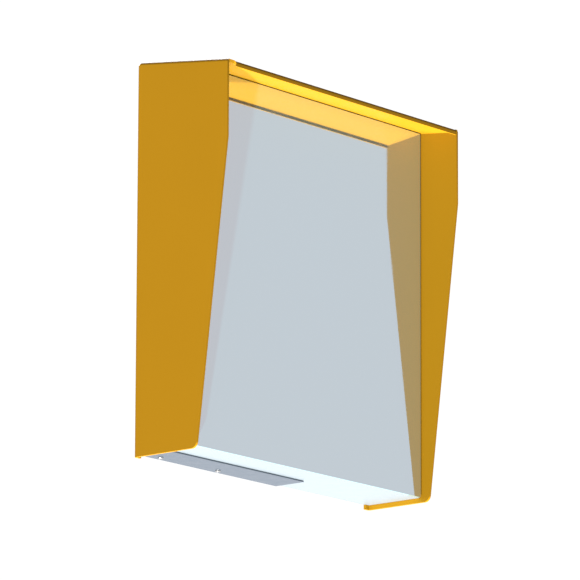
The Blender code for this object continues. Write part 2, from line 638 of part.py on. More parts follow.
def make_gland():
    """The cable entry in the door, close to the hinges, where the cable bends least."""
    centre = (GLAND_X, GLAND_Z)
    body = bmesh.new()
    barrel = [(-20 * MM, 9.2 * MM), (-19.5 * MM, 9.9 * MM), (-7.7 * MM, 9.9 * MM)]
    add_stepped(body, "Y", centre, barrel)
    body = object_from("gland_body", body, "nylon_black")
    collar = bmesh.new()
    add_round(collar, "Y", centre, 13 * MM, -8.7 * MM, -4.2 * MM, 6)
    cut(body, object_from("gland_collar", collar), "UNION")
    cut_rounds(body, "Y", [centre], 7.5 * MM, -0.03, 0.0, 24)

    cap = bmesh.new()
    add_stepped(cap, "Y", centre, [
        (-3.9 * MM, 12 * MM), (2 * MM, 12 * MM), (5.5 * MM, 10.5 * MM), (7.5 * MM, 7.6 * MM)], 24)
    cap = object_from("gland_cap", cap, "nylon_black")
    cut_rounds(cap, "Y", [centre], 5.9 * MM, -0.01, 0.02, 24)
    smooth(cap)
    seal = bmesh.new()
    add_round(seal, "Y", centre, 5.6 * MM, -10 * MM, 6.5 * MM, 24)
    seal = object_from("gland_seal", seal, "rubber")
    cut_rounds(seal, "Y", [centre], 3.5 * MM, -0.02, 0.02, 16)
    nut = bmesh.new()
    add_round(nut, "Y", centre, 13 * MM, -16.8 * MM, -12.3 * MM, 6)
    nut = object_from("gland_locknut", nut, "nylon_black")
    cut_rounds(nut, "Y", [centre], 10.2 * MM, -0.03, 0.0, 24)


def place_origin(name, point):
    """Moves an object's origin to a joint's axis and leaves its shape where it is."""
    obj = bpy.data.objects[name]
    obj.data.transform(Matrix.Translation(-Vector(point)))
    obj.location = point


def put_origins_on_axes():
    for name in ("rear_door", "latch_bush_upper", "latch_bush_lower", "gland_body", "gland_cap",
                 "gland_seal", "gland_locknut", "hinge_door_leaf_upper", "hinge_door_leaf_lower"):
        place_origin(name, (HINGE_X, HINGE_Y, 0.0))
    for name, z in LATCHES_Z.items():
        for piece in ("knob", "cam", "nut"):
            place_origin(f"latch_{piece}_{name}", (LATCH_X, DOOR_Y[1], z))


def main():
    clear_scene()
    make_materials()
    make_hood()
    make_hood_nuts()
    make_case()
    make_mounting_strip()
    make_lens()
    make_led_unit()
    make_supply()
    make_terminals()
    make_leads()
    make_door()
    for name, z in HINGES_Z.items():
        make_hinge(name, z)
    for name, z in LATCHES_Z.items():
        make_latch(name, z)
    make_gland()
    put_origins_on_axes()


main()
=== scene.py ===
"""Finished look of a pedestrian signal head: sheet-metal hood, gray case, glossy front, LED unit
and service door, each built round the part of the engineered frame that it stands for."""

import json
from math import cos, pi, radians, sin, tan

import bmesh
import bpy
from mathutils import Matrix, Vector


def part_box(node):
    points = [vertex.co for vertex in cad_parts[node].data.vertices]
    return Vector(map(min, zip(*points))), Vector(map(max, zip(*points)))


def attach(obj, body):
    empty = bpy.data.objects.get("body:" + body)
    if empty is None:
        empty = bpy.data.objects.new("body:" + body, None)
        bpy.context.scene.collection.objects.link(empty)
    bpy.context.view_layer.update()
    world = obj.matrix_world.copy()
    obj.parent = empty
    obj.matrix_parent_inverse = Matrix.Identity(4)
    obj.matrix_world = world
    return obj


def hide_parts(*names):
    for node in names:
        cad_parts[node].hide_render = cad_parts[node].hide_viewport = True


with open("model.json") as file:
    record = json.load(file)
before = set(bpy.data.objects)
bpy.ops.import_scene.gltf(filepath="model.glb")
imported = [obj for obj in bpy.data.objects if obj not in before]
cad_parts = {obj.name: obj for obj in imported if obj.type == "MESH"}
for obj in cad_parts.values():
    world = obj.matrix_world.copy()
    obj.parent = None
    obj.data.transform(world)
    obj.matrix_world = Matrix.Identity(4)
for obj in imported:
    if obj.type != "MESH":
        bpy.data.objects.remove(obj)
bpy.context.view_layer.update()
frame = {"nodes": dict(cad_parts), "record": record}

bl_info = {
    "name": "Pedestrian Signal Head",
    "version": (1, 0, 0),
    "blender": (4, 5, 0),
    "location": "View3D > Sidebar > Signal Head",
    "description": "Builds the finished pieces, paints and studio of a pedestrian signal head",
    "category": "Add Mesh",
}

MM = 0.001
LEVELS = ("upper", "lower")
BODIES = frame["record"]["behaviour"]["bodies"]
BODY_OF = {node: body for body, nodes in BODIES.items() for node in nodes}
SLOT_OF = {part["node"]: part["material_slot"] for part in frame["record"]["subparts"]}

# Measures of the engineered parts that the finished pieces follow.
SHEET = 3 * MM
TOP_FALL = radians(7.35)
KINK_Z = 355.6 * MM
DEPTH_BOTTOM = 94.5 * MM
REAR_FLANGE = 10 * MM
LIP_HEIGHT = 6.5 * MM
LIP_X = (-199 * MM, 211 * MM)
LIP_SHEET = 1.5 * MM
CORNER_BEVEL = 7.12 * MM     # rounds the front corner at the foot of each wing
FOLD_WIDTH = 6.4 * MM        # of the widest fold, along the rear of the top
FOLD_SHARE = 7 * MM          # fold radius that would make every fold as wide as that
STUDS_AT = ((-50 * MM, 90 * MM), (-50 * MM, 370 * MM))
STUD_REACH = 11 * MM
STUD_R = 2.3 * MM
SCREW_R = 1.6 * MM
SCREW_HEAD_R = 3.1 * MM
SCREW_PITCH = 0.7 * MM
STRIP_SCREW_R = 2 * MM
STRIP_SCREW_PITCH = 0.9 * MM
SCREW_COUNTS = {"lens_screw": 6, "board_screw": 4}
HOLDER_THICK = 1.6 * MM
LEAD_OFFSET = 1.27 * MM      # from the middle of a light to each of its two leads
TIP_ROOM = 2.6 * MM          # points closer than this belong to the same light
SUPPLY_ROOM = (66 * MM, 188 * MM, 282 * MM)   # half width, low and high edge of the supply's place
RESISTOR_PITCH = 24 * MM
RESISTOR_ROWS = (60 * MM, 410 * MM)
TERMINAL_WAYS = 6
TERMINAL_PITCH = 18 * MM
TERMINAL_STEP = 8 * MM       # height of the terminal block between its ribs
CLAMP_OFFSET = 6.5 * MM      # from the middle of the terminal block to each row of clamps
LEAF_THICK = 2 * MM
LEAF_SCREWS_X = (8 * MM, 23 * MM)
LEAF_SCREWS_Z = (-20 * MM, 20 * MM)
GLAND_BORE = 5.9 * MM
SIDES_PER_RIB = 4

# The camera stands below the head, at its front left, and looks up at it through a long lens.
CAMERA_PLACE = Vector((-5.0178, -4.2191, -1.2501))
CAMERA_AHEAD = Vector((0.74990, 0.62382, 0.22020))
CAMERA_ROLL = radians(0.217)
CAMERA_LENS = 352.1

# Directions that the studio lights shine in, each with the angle that its source fills, in degrees.
KEY_AHEAD, KEY_ANGLE = (2.5, 1.0, 3.3), 1.5
LOW_AHEAD, LOW_ANGLE = (0.05, 0.05, 1.0), 12.0
REAR_AHEAD, REAR_ANGLE = (-0.45, -0.72, -0.53), 25.0
FLOOR_SIZE = 400
SEEN_WHITE = 1.05            # brightness of the surroundings where the camera sees them


# ---------------------------------------------------------------- settings

def colour_setting(name, description, default):
    return bpy.props.FloatVectorProperty(
        name=name, description=description, default=default, size=3, min=0.0, max=1.0,
        subtype="COLOR")


def length_setting(name, description, default):
    return bpy.props.FloatProperty(
        name=name, description=description, default=default, min=0.0, precision=4, unit="LENGTH")


def strength_setting(name, description, default):
    return bpy.props.FloatProperty(name=name, description=description, default=default, min=0.0)


class SignalPaints(bpy.types.PropertyGroup):
    """Colours of the finishes"""

    hood: colour_setting("Hood", "Powder coat of the hood", (0.785, 0.385, 0.016))
    case: colour_setting("Case", "Powder coat of the case and the rear door", (0.365, 0.425, 0.455))
    strip: colour_setting("Strip", "Coat of the mounting strip", (0.105, 0.13, 0.165))
    front: colour_setting("Front", "Glossy front behind the hood", (0.32, 0.88, 1.0))
    board: colour_setting("Board", "Solder mask of the circuit boards", (0.012, 0.13, 0.055))
    amber: colour_setting("Hand lights", "Tinted epoxy of the hand's lights", (0.78, 0.27, 0.02))
    clear: colour_setting("Walker lights", "Clear epoxy of the walker's lights", (0.78, 0.78, 0.74))
    nylon: colour_setting("Nylon", "Moulded nylon", (0.022, 0.022, 0.024))
    rubber: colour_setting("Rubber", "Seals and gaskets", (0.018, 0.018, 0.018))
    sleeve: colour_setting("Sleeve", "Shrink sleeve of the capacitors", (0.02, 0.06, 0.24))
    jacket: colour_setting("Jacket", "Jacket of the supply lead", (0.13, 0.13, 0.14))


class SignalSizes(bpy.types.PropertyGroup):
    """Sizes of the finished details"""

    fold_radius: length_setting("Fold radius", "Outer radius of the hood's folds", 4 * MM)
    sheet_ease: length_setting("Sheet ease", "Rounding of the hood's cut edges", 0.5 * MM)
    case_ease: length_setting("Case ease", "Rounding of the case's edges", 0.6 * MM)
    front_ease: length_setting("Front ease", "Rounding of the front's edges", 0.7 * MM)
    hardware_ease: length_setting("Hardware ease", "Rounding of hinges, latches and nuts", 0.4 * MM)
    light_radius: length_setting("Light radius", "Radius of one light", 2.5 * MM)
    thread_pitch: length_setting("Thread pitch", "Pitch of studs and screws", 0.9 * MM)
    gland_ribs: bpy.props.IntProperty(
        name="Gland ribs", description="Grip ribs round the gland's cap", default=20, min=6, max=40)


class SignalStudio(bpy.types.PropertyGroup):
    """Light and floor"""

    key: strength_setting("Key light", "Light from the front left and below", 2.75)
    low: strength_setting("Low light", "Soft light from straight below", 4.6)
    rear: strength_setting("Rear light", "Soft light from behind, above and the right", 3.2)
    around: strength_setting("Surroundings", "Soft light from all round", 0.12)
    mirrored: strength_setting("Mirrored", "Brightness that glossy finishes mirror", 0.775)
    mirrored_tint: colour_setting(
        "Mirrored tint", "Colour that glossy finishes mirror", (0.95, 0.93, 1.0))
    floor_level: bpy.props.FloatProperty(
        name="Floor level", description="Height of the floor, below the head and the camera",
        default=-10.0, unit="LENGTH")


# ---------------------------------------------------------------- modelling helpers

def deselect_all():
    bpy.ops.object.select_all(action="DESELECT")


def make_active(obj):
    deselect_all()
    obj.select_set(True)
    bpy.context.view_layer.objects.active = obj


def begin(name):
    """Names the new primitive, settles its place in its mesh and opens it for editing."""
    obj = bpy.context.object
    obj.name = obj.data.name = name
    bpy.ops.object.transform_apply(location=True, rotation=True, scale=True)
    bpy.ops.object.mode_set(mode="EDIT")
    return obj


def block(name, low, high):
    """A cube between two corners, open for editing."""
    deselect_all()
    low, high = Vector(low), Vector(high)
    bpy.ops.mesh.primitive_cube_add(size=1, location=(low + high) / 2, scale=high - low)
    return begin(name)


AXES = {"X": Vector((1, 0, 0)), "Y": Vector((0, 1, 0)), "Z": Vector((0, 0, 1))}
TURNS = {"X": (0, pi / 2, 0), "Y": (-pi / 2, 0, 0), "Z": (0, 0, 0)}


def disc(name, axis, centre, radius, sides):
    """A filled circle across an axis, open for editing."""
    deselect_all()
    bpy.ops.mesh.primitive_circle_add(
        vertices=sides, radius=radius, fill_type="NGON", location=centre, rotation=TURNS[axis])
    return begin(name)


def pick(kind, test):
    """Selects the faces, edges or vertices of the open piece that pass a test."""
    bpy.ops.mesh.select_mode(type=kind)
    bpy.ops.mesh.select_all(action="DESELECT")
    mesh = bmesh.from_edit_mesh(bpy.context.edit_object.data)
    items = {"VERT": mesh.verts, "EDGE": mesh.edges, "FACE": mesh.faces}[kind]
    for item in items:
        if test(item):
            item.select_set(True)
    mesh.select_flush_mode()
    bmesh.update_edit_mesh(bpy.context.edit_object.data)


def middle(item):
    return sum((vert.co for vert in item.verts), Vector()) / len(item.verts)


def near(a, b, room=0.02 * MM):
    return abs(a - b) < room


def reach(edge, axis):
    """How far an edge runs along an axis."""
    index = "XYZ".index(axis)
    return abs(edge.verts[0].co[index] - edge.verts[1].co[index])


def extrude(shift):
    bpy.ops.mesh.extrude_region_move(TRANSFORM_OT_translate={"value": Vector(shift)})


def spread(ratio, axis, centre):
    """Scales what is selected across an axis, about a centre."""
    value = [ratio if name != axis else 1.0 for name in "XYZ"]
    bpy.ops.transform.resize(value=value, center_override=Vector(centre))


def turn_up(name, axis, centre, steps, sides=24):
    """A turned piece along an axis: steps are (place along the axis, radius) from end to end."""
    spot = Vector(centre)
    index = "XYZ".index(axis)
    spot[index] = steps[0][0]
    obj = disc(name, axis, spot, steps[0][1], sides)
    for (along, radius), (next_along, next_radius) in zip(steps, steps[1:]):
        extrude(AXES[axis] * (next_along - along))
        spot[index] = next_along
        spread(next_radius / radius, axis, spot)
    bpy.ops.mesh.select_all(action="SELECT")
    bpy.ops.mesh.normals_make_consistent(inside=False)
    return obj


def close():
    """Turns all faces outwards and leaves the open piece."""
    bpy.ops.mesh.select_mode(type="VERT")
    bpy.ops.mesh.select_all(action="SELECT")
    bpy.ops.mesh.remove_doubles(threshold=0.001 * MM)
    bpy.ops.mesh.normals_make_consistent(inside=False)
    bpy.ops.object.mode_set(mode="OBJECT")


def apply_modifier(obj, kind, **settings):
    make_active(obj)
    modifier = obj.modifiers.new(kind.title(), kind)
    for key, value in settings.items():
        setattr(modifier, key, value)
    bpy.ops.object.modifier_apply(modifier=modifier.name)


def ease(obj, width, segments=2, angle=30):
    """Rounds the sharp edges and lets the flat faces keep their own shade."""
    apply_modifier(obj, "BEVEL", width=width, segments=segments, limit_method="ANGLE",
                   angle_limit=radians(angle), miter_outer="MITER_ARC", use_clamp_overlap=True)
    shade(obj)


def shade(obj, angle=40):
    make_active(obj)
    bpy.ops.object.shade_smooth_by_angle(angle=radians(angle))
    apply_modifier(obj, "WEIGHTED_NORMAL", keep_sharp=True)


def discard(*helpers):
    for helper in helpers:
        bpy.data.objects.remove(helper, do_unlink=True)


def carve(obj, cutter):
    """Cuts a piece with a helper and removes the helper."""
    apply_modifier(obj, "BOOLEAN", object=cutter, operation="DIFFERENCE", solver="EXACT")
    discard(cutter)


def copy_piece(obj, name, shift=(0, 0, 0)):
    """A copy with a mesh of its own, moved inside its mesh."""
    twin = bpy.data.objects.new(name, obj.data.copy())
    twin.data.name = name
    twin.data.transform(Matrix.Translation(shift))
    bpy.context.scene.collection.objects.link(twin)
    return twin


def join(name, pieces):
    """Makes one piece of several."""
    make_active(pieces[0])
    for piece in pieces:
        piece.select_set(True)
    bpy.ops.object.join()
    pieces[0].name = pieces[0].data.name = name
    return pieces[0]


def merged_copy(node, name):
    """A copy of an engineered part with its triangles merged into whole faces."""
    obj = bpy.data.objects.new(name, frame["nodes"][node].data.copy())
    obj.data.name = name
    bpy.context.scene.collection.objects.link(obj)
    make_active(obj)
    bpy.ops.mesh.customdata_custom_splitnormals_clear()
    bpy.ops.object.mode_set(mode="EDIT")
    bpy.ops.mesh.select_mode(type="VERT")
    bpy.ops.mesh.select_all(action="SELECT")
    bpy.ops.mesh.remove_doubles(threshold=0.002 * MM)
    bpy.ops.mesh.dissolve_limited(angle_limit=radians(0.5))
    bpy.ops.object.mode_set(mode="OBJECT")
    return obj


def finish_piece(obj, finish, body, *stands_for):
    """Gives a piece its finish and its body, and hides the parts it stands for."""
    obj.data.materials.clear()
    obj.data.materials.append(bpy.data.materials[finish])
    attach(obj, body)
    if stands_for:
        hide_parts(*stands_for)
    return obj


def eased_copy(node, width, segments=2):
    """The engineered part with rounded edges, in its own finish."""
    obj = merged_copy(node, f"{node}_finished")
    ease(obj, width, segments)
    finish_piece(obj, SLOT_OF[node], BODY_OF[node], node)


def span(node):
    """Low corner, high corner and middle of an engineered part."""
    low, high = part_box(node)
    return low, high, (low + high) / 2


# ---------------------------------------------------------------- finishes

def reckon(tree, operation, *values):
    """A Math node whose inputs are numbers or sockets; returns its result."""
    node = tree.nodes.new("ShaderNodeMath")
    node.operation = operation
    for socket, value in zip(node.inputs, values):
        if isinstance(value, (int, float)):
            socket.default_value = value
        else:
            tree.links.new(value, socket)
    return node.outputs[0]


class Finish:
    """A node material built up from grain, bumps and colour changes on Object coordinates."""

    def __init__(self, name, colour, roughness, metallic=0.0, **sockets):
        self.material = bpy.data.materials.new(name)
        self.material.use_nodes = True
        self.nodes = self.material.node_tree.nodes
        self.links = self.material.node_tree.links
        self.shader = self.nodes["Principled BSDF"]
        self.colour = colour
        self.shader.inputs["Base Color"].default_value = (*colour, 1.0)
        self.shader.inputs["Roughness"].default_value = roughness
        self.shader.inputs["Metallic"].default_value = metallic
        for socket, value in sockets.items():
            self.shader.inputs[socket.replace("_", " ")].default_value = value
        self.coordinates = self.add("ShaderNodeTexCoord").outputs["Object"]
        self.last_normal = None
        self.last_colour = None

    def add(self, kind, **settings):
        node = self.nodes.new(kind)
        for key, value in settings.items():
            setattr(node, key, value)
        return node

    def stretched(self, stretch):
        mapping = self.add("ShaderNodeMapping")
        mapping.inputs["Scale"].default_value = stretch
        self.links.new(self.coordinates, mapping.inputs["Vector"])
        return mapping.outputs["Vector"]

    def noise(self, scale, detail=2.0, stretch=(1, 1, 1)):
        node = self.add("ShaderNodeTexNoise")
        node.inputs["Scale"].default_value = scale
        node.inputs["Detail"].default_value = detail
        self.links.new(self.stretched(stretch), node.inputs["Vector"])
        return node.outputs["Fac"]

    def cells(self, scale, stretch=(1, 1, 1), feature="F1", randomness=1.0):
        node = self.add("ShaderNodeTexVoronoi", feature=feature)
        node.inputs["Scale"].default_value = scale
        node.inputs["Randomness"].default_value = randomness
        self.links.new(self.stretched(stretch), node.inputs["Vector"])
        return node.outputs["Distance"]

    def bands(self, scale, direction):
        node = self.add("ShaderNodeTexWave", wave_type="BANDS", bands_direction=direction)
        node.inputs["Scale"].default_value = scale
        self.links.new(self.coordinates, node.inputs["Vector"])
        return node.outputs["Fac"]

    def remap(self, source, low, high, to_low=0.0, to_high=1.0):
        node = self.add("ShaderNodeMapRange")
        ends = {"From Min": low, "From Max": high, "To Min": to_low, "To Max": to_high}
        for socket, value in ends.items():
            node.inputs[socket].default_value = value
        self.links.new(source, node.inputs["Value"])
        return node.outputs["Result"]

    def times(self, source, share):
        return reckon(self.material.node_tree, "MULTIPLY", source, share)

    def tint(self, factor, colour):
        """Lays a colour over what is there, by a factor from 0 to 1."""
        node = self.add("ShaderNodeMix", data_type="RGBA")
        self.links.new(factor, node.inputs[0])
        if self.last_colour is None:
            node.inputs[6].default_value = (*self.colour, 1.0)
        else:
            self.links.new(self.last_colour, node.inputs[6])
        node.inputs[7].default_value = (*colour, 1.0)
        self.last_colour = node.outputs[2]
        self.links.new(self.last_colour, self.shader.inputs["Base Color"])

    def calm(self, share):
        """Throws less light on what is round the piece, as matt surroundings in a studio do."""
        bounce = self.add("ShaderNodeLightPath").outputs["Is Diffuse Ray"]
        self.tint(self.times(bounce, share), (0.0, 0.0, 0.0))
        return self

    def shaded(self, share):
        return tuple(min(1.0, channel * share) for channel in self.colour)

    def roughen(self, source, low, high):
        self.links.new(self.remap(source, 0.3, 0.7, low, high), self.shader.inputs["Roughness"])

    def bump(self, height, strength, distance):
        node = self.add("ShaderNodeBump")
        node.inputs["Strength"].default_value = strength
        node.inputs["Distance"].default_value = distance
        self.links.new(height, node.inputs["Height"])
        if self.last_normal is not None:
            self.links.new(self.last_normal, node.inputs["Normal"])
        self.last_normal = node.outputs["Normal"]
        self.links.new(self.last_normal, self.shader.inputs["Normal"])


def powder_coat(name, colour, roughness, peel=0.12, shine=0.5):
    """A sprayed coat: fine orange peel, soft drifts of shade and paler edges."""
    coat = Finish(name, colour, roughness, Coat_Weight=0.2 * shine, Coat_Roughness=0.22)
    coat.shader.inputs["Specular IOR Level"].default_value = shine
    coat.tint(coat.remap(coat.noise(7.0, 3.0), 0.35, 0.75, 0.0, 0.35), coat.shaded(0.93))
    coat.tint(coat.remap(coat.noise(900.0, 1.0), 0.62, 0.8, 0.0, 0.10), coat.shaded(1.25))
    edges = coat.add("ShaderNodeNewGeometry").outputs["Pointiness"]
    coat.tint(coat.remap(edges, 0.53, 0.66, 0.0, 0.18), coat.shaded(1.3))
    coat.roughen(coat.noise(60.0, 4.0), roughness - 0.05, roughness + 0.07)
    coat.bump(coat.noise(650.0, 2.0), peel, 0.1 * MM)
    coat.bump(coat.noise(22.0, 1.0), 0.05, 0.5 * MM)
    return coat


def make_finishes(paints):
    for plain in list(bpy.data.materials):
        plain.name = f"frame_{plain.name}"
    powder_coat("hood_yellow", tuple(paints.hood), 0.42, shine=0.05).calm(0.75)
    powder_coat("case_gray", tuple(paints.case), 0.38, 0.10)
    strip = powder_coat("strip_gray", tuple(paints.strip), 0.45, 0.10)
    strip.tint(strip.remap(strip.noise(120.0, 5.0, (1, 0.1, 1)), 0.55, 0.75, 0.0, 0.25),
               strip.shaded(1.25))

    # The front mirrors what is round it, but throws no glints on the hood.
    front = Finish("lens_gray", tuple(paints.front), 0.05, IOR=10.4)
    bounce = front.add("ShaderNodeLightPath").outputs["Is Diffuse Ray"]
    glint = front.remap(bounce, 0.0, 1.0, 0.5, 0.0)
    front.links.new(glint, front.shader.inputs["Specular IOR Level"])
    front.roughen(front.noise(30.0, 3.0), 0.03, 0.07)
    front.tint(front.remap(front.noise(5.0, 2.0), 0.3, 0.7, 0.0, 0.4), front.shaded(0.94))
    front.calm(0.7)
    front.bump(front.noise(9.0, 0.0), 0.03, 0.3 * MM)

    rubber = Finish("rubber", tuple(paints.rubber), 0.8)
    rubber.tint(rubber.remap(rubber.cells(1400.0), 0.0, 0.4, 0.5, 0.0), rubber.shaded(2.2))
    rubber.bump(rubber.cells(1400.0), 0.4, 0.15 * MM)

    steel = Finish("steel", (0.58, 0.58, 0.59), 0.32, 1.0)
    steel.tint(steel.remap(steel.noise(90.0, 3.0), 0.4, 0.65, 0.0, 0.5), (0.66, 0.62, 0.52))
    steel.tint(steel.remap(steel.noise(160.0, 2.0), 0.5, 0.7, 0.0, 0.5), (0.48, 0.52, 0.58))
    steel.roughen(steel.noise(700.0, 3.0, (1, 1, 0.08)), 0.22, 0.42)
    steel.bump(steel.noise(1500.0, 2.0, (1, 1, 0.06)), 0.12, 0.05 * MM)

    make_board_finish(paints)

    for name, colour in (("led_amber", paints.amber), ("led_clear", paints.clear)):
        epoxy = Finish(name, tuple(colour), 0.12, Coat_Weight=0.6, Coat_Roughness=0.04)
        epoxy.tint(epoxy.remap(epoxy.noise(400.0, 2.0), 0.35, 0.7, 0.0, 0.5), epoxy.shaded(0.8))
        epoxy.roughen(epoxy.noise(900.0, 2.0), 0.08, 0.18)
        epoxy.bump(epoxy.noise(600.0, 2.0), 0.06, 0.05 * MM)

    nylon = Finish("nylon_black", tuple(paints.nylon), 0.5)
    nylon.tint(nylon.remap(nylon.noise(50.0, 3.0), 0.4, 0.7, 0.0, 0.6), nylon.shaded(1.6))
    nylon.roughen(nylon.noise(300.0, 3.0), 0.42, 0.58)
    nylon.bump(nylon.cells(2600.0), 0.25, 0.06 * MM)

    aluminium = Finish("aluminium", (0.72, 0.73, 0.74), 0.34, 1.0)
    aluminium.roughen(aluminium.noise(900.0, 2.0, (1, 1, 0.03)), 0.24, 0.44)
    aluminium.tint(aluminium.remap(aluminium.noise(400.0, 2.0, (1, 1, 0.05)), 0.4, 0.7, 0.0, 0.5),
                   (0.60, 0.61, 0.63))
    aluminium.bump(aluminium.noise(1800.0, 1.0, (1, 1, 0.02)), 0.15, 0.05 * MM)

    sleeve = Finish(
        "capacitor_blue", tuple(paints.sleeve), 0.3, Coat_Weight=0.4, Coat_Roughness=0.1)
    sleeve.tint(sleeve.remap(sleeve.noise(200.0, 3.0), 0.4, 0.7, 0.0, 0.4), sleeve.shaded(1.5))
    sleeve.bump(sleeve.noise(120.0, 2.0), 0.1, 0.1 * MM)

    jacket = Finish("cable_gray", tuple(paints.jacket), 0.55)
    jacket.tint(jacket.remap(jacket.noise(150.0, 4.0), 0.45, 0.7, 0.0, 0.5), jacket.shaded(1.5))
    jacket.bump(jacket.noise(900.0, 2.0, (1, 1, 0.3)), 0.2, 0.08 * MM)

    plate = Finish("holder_plate", (0.035, 0.035, 0.037), 0.55)
    plate.tint(plate.remap(plate.noise(60.0, 4.0), 0.4, 0.7, 0.0, 0.5), plate.shaded(1.7))
    plate.bump(plate.cells(1900.0), 0.3, 0.06 * MM)

    solder = Finish("solder", (0.62, 0.63, 0.65), 0.25, 1.0)
    solder.roughen(solder.noise(1200.0, 3.0), 0.16, 0.4)
    solder.bump(solder.noise(1500.0, 2.0), 0.2, 0.05 * MM)

    copper = Finish("copper_winding", (0.66, 0.25, 0.09), 0.3, 1.0)
    rounds = copper.bands(180.0, "X")
    # Painted shade: the copper turns darker in the grooves between the turns of wire, where the
    # bump dips.
    copper.tint(copper.remap(rounds, 0.0, 0.5, 0.8, 0.0), (0.25, 0.07, 0.02))
    copper.bump(rounds, 0.8, 0.3 * MM)
    copper.roughen(copper.remap(copper.noise(1.0, 0.0), 0.0, 1.0), 0.25, 0.35)

    core = Finish("laminated_core", (0.16, 0.165, 0.17), 0.45, 0.8)
    sheets = core.bands(320.0, "Y")
    core.tint(core.remap(sheets, 0.2, 0.5, 0.7, 0.0), (0.05, 0.05, 0.055))
    core.bump(sheets, 0.4, 0.1 * MM)


def make_board_finish(paints):
    """Solder mask over copper tracks, with tinned pads where tracks end."""
    board = Finish("circuit_green", tuple(paints.board), 0.35, Coat_Weight=0.4, Coat_Roughness=0.15)
    tracks = board.cells(55.0, (1, 0, 1), "DISTANCE_TO_EDGE", randomness=0.55)
    track = board.remap(tracks, 0.035, 0.05, 1.0, 0.0)
    board.tint(board.times(track, 0.75), (0.03, 0.30, 0.13))
    fine = board.cells(130.0, (1, 0, 1), "DISTANCE_TO_EDGE", randomness=0.25)
    board.tint(board.times(board.remap(fine, 0.03, 0.05, 1.0, 0.0), 0.35), (0.02, 0.22, 0.09))
    vias = board.cells(55.0, (1, 0, 1), "F1", randomness=0.55)
    board.tint(board.remap(vias, 0.075, 0.085, 1.0, 0.0), (0.55, 0.50, 0.36))
    # Painted shade: a near-black middle in each tinned pad stands for the shade inside its drilled
    # hole.
    board.tint(board.remap(vias, 0.032, 0.04, 1.0, 0.0), (0.01, 0.012, 0.01))
    board.bump(track, 0.25, 0.05 * MM)


# ---------------------------------------------------------------- hood

def build_hood(sizes):
    """One folded sheet: a box is cut to its sloping outline, opened, folded and thickened."""
    low, high, _ = span("hood")
    rise = Vector((0, -sin(TOP_FALL), cos(TOP_FALL)))
    hood = block("hood_sheet", low, high)

    def slice_off(place, normal):
        bpy.ops.mesh.select_all(action="SELECT")
        bpy.ops.mesh.bisect(plane_co=place, plane_no=normal, use_fill=True, clear_outer=True,
                            threshold=0.001 * MM)

    slice_off((0, high.y, high.z), rise)
    foot_y = high.y - DEPTH_BOTTOM
    slant = Vector((0, low.y - foot_y, KINK_Z - low.z)).normalized()
    slice_off((0, low.y, KINK_Z), (0, -slant.z, slant.y))

    pick("FACE", lambda face: face.normal.y < -0.5 or face.normal.z < -0.5)
    bpy.ops.mesh.delete(type="FACE")

    def split(test, place, normal):
        pick("FACE", test)
        bpy.ops.mesh.bisect(plane_co=place, plane_no=normal, threshold=0.001 * MM)

    def is_back(face):
        return face.normal.y > 0.5

    def is_top(face):
        return face.normal.z > 0.5

    for side, lip_end in zip((-1, 1), LIP_X):
        split(is_back, (side * (high.x - REAR_FLANGE), high.y, 0), (1, 0, 0))
        split(is_top, (lip_end, 0, high.z), (1, 0, 0))
    split(is_back, (0, high.y, high.z - REAR_FLANGE), (0, 0, 1))
    pick("FACE", lambda face: is_back(face) and abs(middle(face).x) < high.x - REAR_FLANGE
         and middle(face).z < high.z - REAR_FLANGE)
    bpy.ops.mesh.delete(type="FACE")

    def is_lip_edge(edge):
        spot = middle(edge)
        return near(spot.y, low.y) and near(spot.x, sum(LIP_X) / 2) and edge.is_boundary

    pick("EDGE", is_lip_edge)
    bpy.ops.mesh.extrude_edges_move(TRANSFORM_OT_translate={"value": (0, 0, -LIP_HEIGHT)})

    def is_foot(vert):
        return near(vert.co.y, foot_y) and near(vert.co.z, low.z)

    pick("VERT", is_foot)
    bpy.ops.mesh.bevel(offset=CORNER_BEVEL, segments=6, profile=0.5, affect="VERTICES")

    def is_sharp(edge):
        return len(edge.link_faces) == 2 and edge.calc_face_angle(0) > radians(60)

    pick("EDGE", is_sharp)
    bpy.ops.transform.edge_bevelweight(value=sizes.fold_radius / FOLD_SHARE)
    pick("EDGE", lambda edge: is_sharp(edge) and near(middle(edge).y, high.y)
         and near(middle(edge).z, high.z))
    bpy.ops.transform.edge_bevelweight(value=1.0)
    pick("EDGE", lambda edge: is_sharp(edge) and near(middle(edge).y, low.y))
    bpy.ops.transform.edge_bevelweight(value=-0.1)
    bpy.ops.object.mode_set(mode="OBJECT")

    apply_modifier(hood, "BEVEL", width=FOLD_WIDTH, segments=6, limit_method="WEIGHT",
                   use_clamp_overlap=True)
    apply_modifier(hood, "SOLIDIFY", thickness=SHEET, offset=-1.0, use_even_offset=True)
    bpy.ops.object.mode_set(mode="EDIT")
    inner_y = low.y + SHEET
    inner_z = high.z - (high.y - low.y) * tan(TOP_FALL) - SHEET

    def is_lip_back(vert):
        behind = inner_y - 1.2 * MM < vert.co.y < inner_y + 0.2 * MM
        across = LIP_X[0] - MM < vert.co.x < LIP_X[1] + MM
        return behind and across and vert.co.z < inner_z + 0.2 * MM

    pick("VERT", is_lip_back)
    bpy.ops.transform.translate(value=(0, LIP_SHEET - SHEET, 0))
    close()
    apply_modifier(hood, "BEVEL", width=sizes.sheet_ease, segments=2, limit_method="ANGLE",
                   angle_limit=radians(50), use_clamp_overlap=True)
    shade(hood)
    finish_piece(hood, "hood_yellow", "head", "hood")

    half = high.x - SHEET
    for side, side_name in ((-1, "left"), (1, "right")):
        for place, level in zip(STUDS_AT, ("lower", "upper")):
            stud = thread(f"hood_stud_{side_name}_{level}", "X", (0, *place),
                          side * (half + 0.5 * MM), side * (half - STUD_REACH), STUD_R,
                          sizes.thread_pitch)
            shade(stud)
            finish_piece(stud, "steel", "head")
            eased_copy(f"hood_nut_{side_name}_{level}", sizes.hardware_ease)


